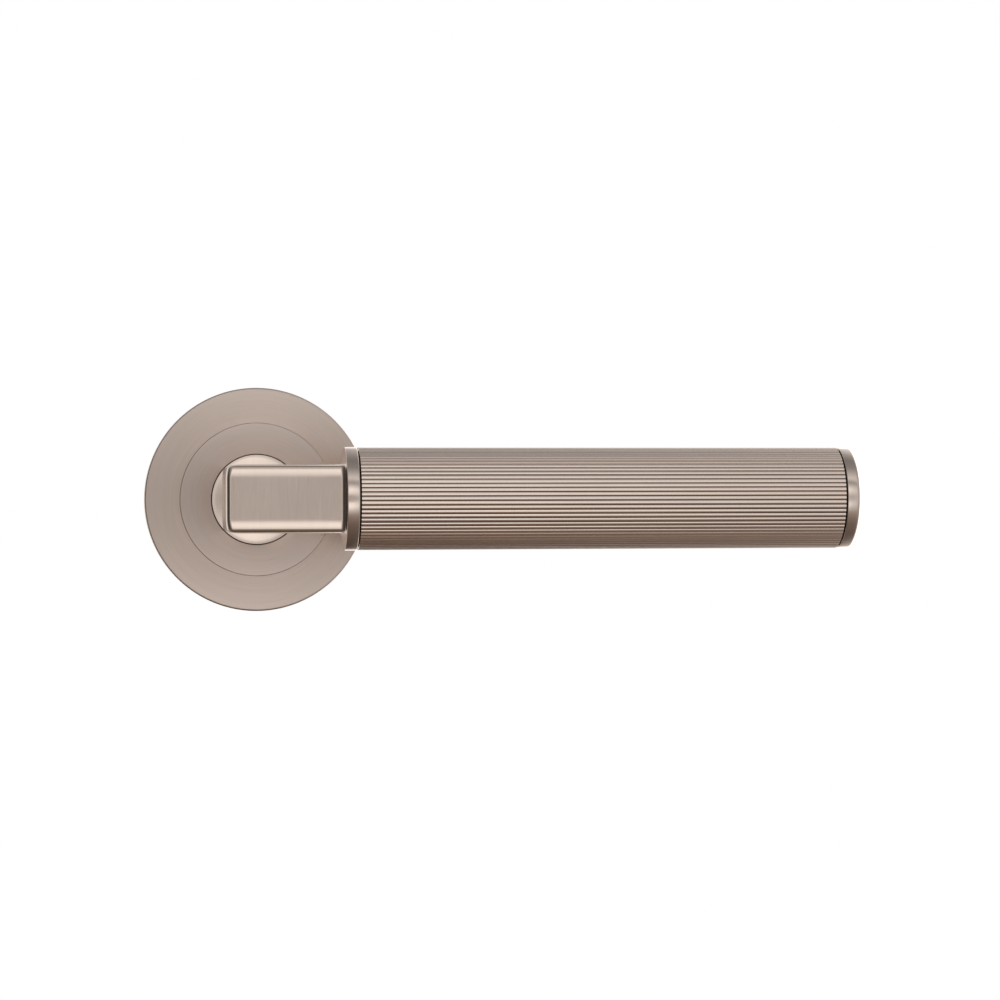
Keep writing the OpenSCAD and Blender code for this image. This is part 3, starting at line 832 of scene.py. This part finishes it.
rose_finish = satin_nickel("satin_nickel_rose", turned_on_spindle, 0.3,
                           (0.71, 0.59, 0.515))
disc_finish = satin_nickel("satin_nickel_disc", turned_on_spindle, 0.3,
                           (0.66, 0.55, 0.485))
# Both faces mirror light as circles turned on a lathe do
for fin in (rose_finish, disc_finish):
    swirl = fin.tree.nodes.new("ShaderNodeTangent")
    swirl.direction_type, swirl.axis = "RADIAL", "Y"
    fin.put(fin.shader.inputs["Tangent"], swirl.outputs[0])
    fin.shader.inputs["Anisotropic"].default_value = 0.7
    fin.shader.inputs["Anisotropic Rotation"].default_value = 0.25
neck_finish = satin_nickel("satin_nickel_neck", brushed_round_grip, 0.17,
                           depth=1.4e-6, strength=0.7)
# The reeds get painted shade in their grooves and a painted highlight on their crests
reed_finish = satin_nickel("satin_nickel_reeds", drawn_along_grip, 0.12,
                           depth=1e-6, painted_tone=reed_painted_shade_and_highlight)
cap_finish = satin_nickel("satin_nickel_cap", brushed_round_grip, 0.12, depth=3e-6)
for piece, fin in ((cover, rose_finish), (disc, disc_finish), (neck, neck_finish),
                   (sleeve, reed_finish), (cap, cap_finish)):
    piece.data.materials.append(fin.material)


def cast_zinc(name):
    """Die-cast zinc: a fine sandy skin, dull patches and a little flow."""
    fin = Finish(name, (0.40, 0.41, 0.43), 1, 0.44)
    sand = fin.noise((2600, 2600, 2600), 3, 0.6)
    flow = fin.noise((60, 200, 60), 3, 0.6)
    fin.tint(fin.between(sand, 0.9, 1.06), fin.between(flow, 0.86, 1.08))
    fin.rough(fin.between(sand, -0.06, 0.08), fin.between(flow, -0.05, 0.08))
    fin.bump(sand, 2e-5, 0.5)
    return fin


def plated_steel(name, color=(0.60, 0.61, 0.64), roughness=0.3, marks=(500, 500, 500)):
    """Zinc-plated or plain drawn steel: marks along the way it was worked, and a cloudy film."""
    fin = Finish(name, color, 1, roughness)
    lines = fin.noise(marks, 3, 0.7)
    film = fin.noise((160, 160, 160), 4, 0.6)
    fin.tint(fin.between(lines, 0.92, 1.05), fin.between(film, 0.88, 1.06))
    fin.rough(fin.between(lines, -0.05, 0.06), fin.between(film, -0.06, 0.1))
    fin.bump(lines, 3e-6)
    return fin


def moulded(name, color, roughness, grain):
    """Moulded plastic or rubber: an even fine grain and faint flow shading."""
    fin = Finish(name, color, 0, roughness)
    pores = fin.noise((grain, grain, grain), 2, 0.5)
    flow = fin.noise((90, 90, 90), 2, 0.5)
    fin.tint(fin.between(pores, 0.85, 1.1), fin.between(flow, 0.9, 1.1))
    fin.rough(fin.between(pores, -0.05, 0.08))
    fin.bump(pores, 1e-5, 0.5)
    return fin


zinc_skin = cast_zinc("cast_zinc").material
plate_skin = plated_steel("plated_sheet", marks=(40, 40, 1800)).material
bolt_skin = plated_steel("plated_fixings", (0.66, 0.645, 0.59), 0.32).material
drawn_skin = plated_steel("drawn_bar", (0.52, 0.53, 0.55), 0.3, (3000, 60, 3000)).material
rod_skin = plated_steel("turned_bar", (0.52, 0.53, 0.55), 0.28, (3500, 200, 200)).material
oiled_skin = plated_steel("oiled_spring_steel", (0.16, 0.155, 0.15), 0.36).material
nylon_skin = moulded("black_nylon_grain", (0.018, 0.018, 0.019), 0.42, 2200).material
rubber_skin = moulded("rubber_matt", (0.012, 0.012, 0.012), 0.7, 1500).material
for piece, skin in ((bolts, bolt_skin), (screws, bolt_skin), (spring, oiled_skin),
                    (square_bar, drawn_skin)):
    piece.data.materials.append(skin)
for node, skin in (
    ("base_plate", zinc_skin), ("back_cover", plate_skin), ("cover_screws", bolt_skin),
    ("cover_ring", rubber_skin), ("bush", nylon_skin), ("thrust_washer", nylon_skin),
    ("drive_cam", oiled_skin), ("circlip", oiled_skin), ("grub_screw", oiled_skin),
    ("locating_pin", rod_skin), ("tie_rod", rod_skin), ("tie_nut", bolt_skin),
    # The seam washers are black rubber, and their black also stands in for the shaded dark line
    # at the seams between collar, grip and cap
    ("end_plug", rod_skin), ("spring_washer", oiled_skin), ("seam_washers", rubber_skin),
):
    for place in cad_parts[node].material_slots:
        place.material = skin


# ---- studio ----

def studio_floor():
    """A round floor well below the handle, glowing with painted light, darker towards the middle
    under the handle as painted shade and brighter far out: rings of growing radius about the
    centre. Only the camera sees it."""
    rings, steps, depth, edge_r = 24, 64, -320, 3000
    radii = np.linspace(50, edge_r, rings)[:, None]
    a = np.arange(steps) * 2 * math.pi / steps
    pts = np.stack([radii * np.cos(a), depth + 0 * radii * a, radii * np.sin(a)], -1)
    fans = [(np.arange(steps), [[0, depth, 0]])]
    floor = make_piece("floor", pts, grid_faces(rings, steps, False, True), fans)
    pale = Finish("painted_glow_floor", (1, 1, 1), 0, 1)
    far = pale.node("ShaderNodeVectorMath")
    far.operation = "LENGTH"
    pale.put(far.inputs[0], pale.place)
    # Painted light: the floor glows, and it is dimmer under the handle as painted shade
    painted_shade_fade = pale.between(far.outputs["Value"], 0.8, 1.0, 0.35, 1.15)
    painted_shade_fade.node.interpolation_type = "SMOOTHSTEP"
    glow = pale.node("ShaderNodeEmission", Strength=painted_shade_fade)
    pale.put(pale.tree.nodes["Material Output"].inputs["Surface"], glow.outputs[0])
    floor.data.materials.append(pale.material)
    floor.visible_glossy = floor.visible_diffuse = floor.visible_shadow = False


# A light tent. What a bright surface mirrors depends on the angle away from straight ahead,
# 0 at the front and 180 behind, and on the side that it leans to: up, down, left or right.
TENT = {
    "up": [(0, 0.54), (3, 0.48), (5, 0.28), (8, 0.60), (12, 1.0), (21, 1.27), (28, 0.75),
           (36, 0.30), (46, 0.83), (60, 0.50), (72, 0.29), (95, 0.22), (120, 0.38),
           (145, 0.55), (157, 1.1), (180, 1.3)],
    "down": [(0, 0.54), (3, 0.48), (5, 0.28), (7, 0.7), (10, 1.25), (18, 1.3), (26, 0.7),
             (36, 0.30), (48, 0.20), (62, 0.14), (90, 0.10), (130, 0.06), (147, 0.12),
             (158, 1.1), (180, 1.3)],
    "left": [(0, 0.54), (4, 0.48), (8, 0.42), (14, 0.42), (24, 0.78), (31, 0.6), (39, 0.12),
             (60, 0.05), (92, 0.06), (106, 0.7), (130, 1.0), (180, 1.3)],
    "right": [(0, 0.54), (4, 0.48), (8, 0.50), (14, 0.56), (26, 0.58), (40, 0.55),
              (60, 0.45), (90, 0.45), (110, 1.4), (125, 2.6), (150, 2.6), (180, 1.3)],
}
# The dim parts of each profile are tinted, and a tone of DIM or more is neutral
TINTS = {"up": (0.97, 1, 1.05), "down": (1.25, 0.93, 0.76), "left": (1.05, 0.97, 0.9),
         "right": (1, 1, 1)}
DIM = 0.7


def studio_world():
    """The tent's four profiles, mixed by the squares of the direction's sine and cosine
    round the straight-ahead line, whose sum is one."""
    world = bpy.data.worlds.new("studio")
    bpy.context.scene.world = world
    world.use_nodes = True
    tree = world.node_tree

    def put(socket, value):
        if isinstance(value, bpy.types.NodeSocket):
            tree.links.new(value, socket)
        else:
            socket.default_value = value

    def math_node(operation, first, second=0.0):
        made = tree.nodes.new("ShaderNodeMath")
        made.operation = operation
        put(made.inputs[0], first)
        put(made.inputs[1], second)
        return made.outputs[0]

    def vector_node(operation, first):
        made = tree.nodes.new("ShaderNodeVectorMath")
        made.operation = operation
        put(made.inputs[0], first)
        return made

    place = tree.nodes.new("ShaderNodeTexCoord")
    part = tree.nodes.new("ShaderNodeSeparateXYZ")
    put(part.inputs[0], place.outputs["Generated"])
    x, y, z = (part.outputs[n] for n in "XYZ")
    away = math_node("DIVIDE", math_node("ARCCOSINE", math_node("MULTIPLY", y, -1)), math.pi)
    squares = [math_node("MULTIPLY", axis, axis) for axis in (x, z)]
    whole = math_node("MAXIMUM", math_node("ADD", *squares), 1e-9)
    total = None
    leans = {"up": (z, 1), "down": (z, -1), "left": (x, -1), "right": (x, 1)}
    for name, (axis, sign) in leans.items():
        ramp = tree.nodes.new("ShaderNodeValToRGB")
        stops = ramp.color_ramp.elements
        while len(stops) < len(TENT[name]):
            stops.new(0.5)
        for stop, (degrees, tone) in zip(stops, TENT[name]):
            stop.position = degrees / 180
            share = max(0, 1 - tone / DIM)
            stop.color = (*[tone * (1 + share * (tint - 1)) for tint in TINTS[name]], 1)
        put(ramp.inputs[0], away)
        lean = math_node("MAXIMUM", math_node("MULTIPLY", axis, sign), 0.0)
        weight = math_node("DIVIDE", math_node("MULTIPLY", lean, lean), whole)
        profile = vector_node("SCALE", ramp.outputs[0])
        put(profile.inputs["Scale"], weight)
        if total is None:
            total = profile.outputs[0]
        else:
            both = vector_node("ADD", total)
            put(both.inputs[1], profile.outputs[0])
            total = both.outputs[0]
    tent = tree.nodes["Background"]
    put(tent.inputs["Color"], total)
    plain = tree.nodes.new("ShaderNodeBackground")
    plain.inputs["Color"].default_value = (1, 1, 1, 1)
    path = tree.nodes.new("ShaderNodeLightPath")
    mix = tree.nodes.new("ShaderNodeMixShader")
    put(mix.inputs[0], path.outputs["Is Camera Ray"])
    put(mix.inputs[1], tent.outputs[0])
    put(mix.inputs[2], plain.outputs[0])
    put(tree.nodes["World Output"].inputs["Surface"], mix.outputs[0])


def studio_camera():
    """A long lens in front of the rose, turned a little to the right, at the lever's middle."""
    data = bpy.data.cameras.new("camera")
    data.sensor_width, data.lens = 36, 102.064
    data.clip_start, data.clip_end = 0.01, 20
    camera = bpy.data.objects.new("camera", data)
    bpy.context.scene.collection.objects.link(camera)
    camera.matrix_world = (
        Matrix.Translation((-0.02934, -0.64628, -0.00168))
        @ Matrix.Rotation(math.radians(-7.5433), 4, "Z")
        @ Matrix.Rotation(math.radians(0.1511), 4, "Y")
        @ Matrix.Rotation(math.radians(90.1266), 4, "X")
    )
    bpy.context.scene.camera = camera


studio_floor()
studio_world()
studio_camera()
bpy.context.scene.view_settings.view_transform = "Standard"
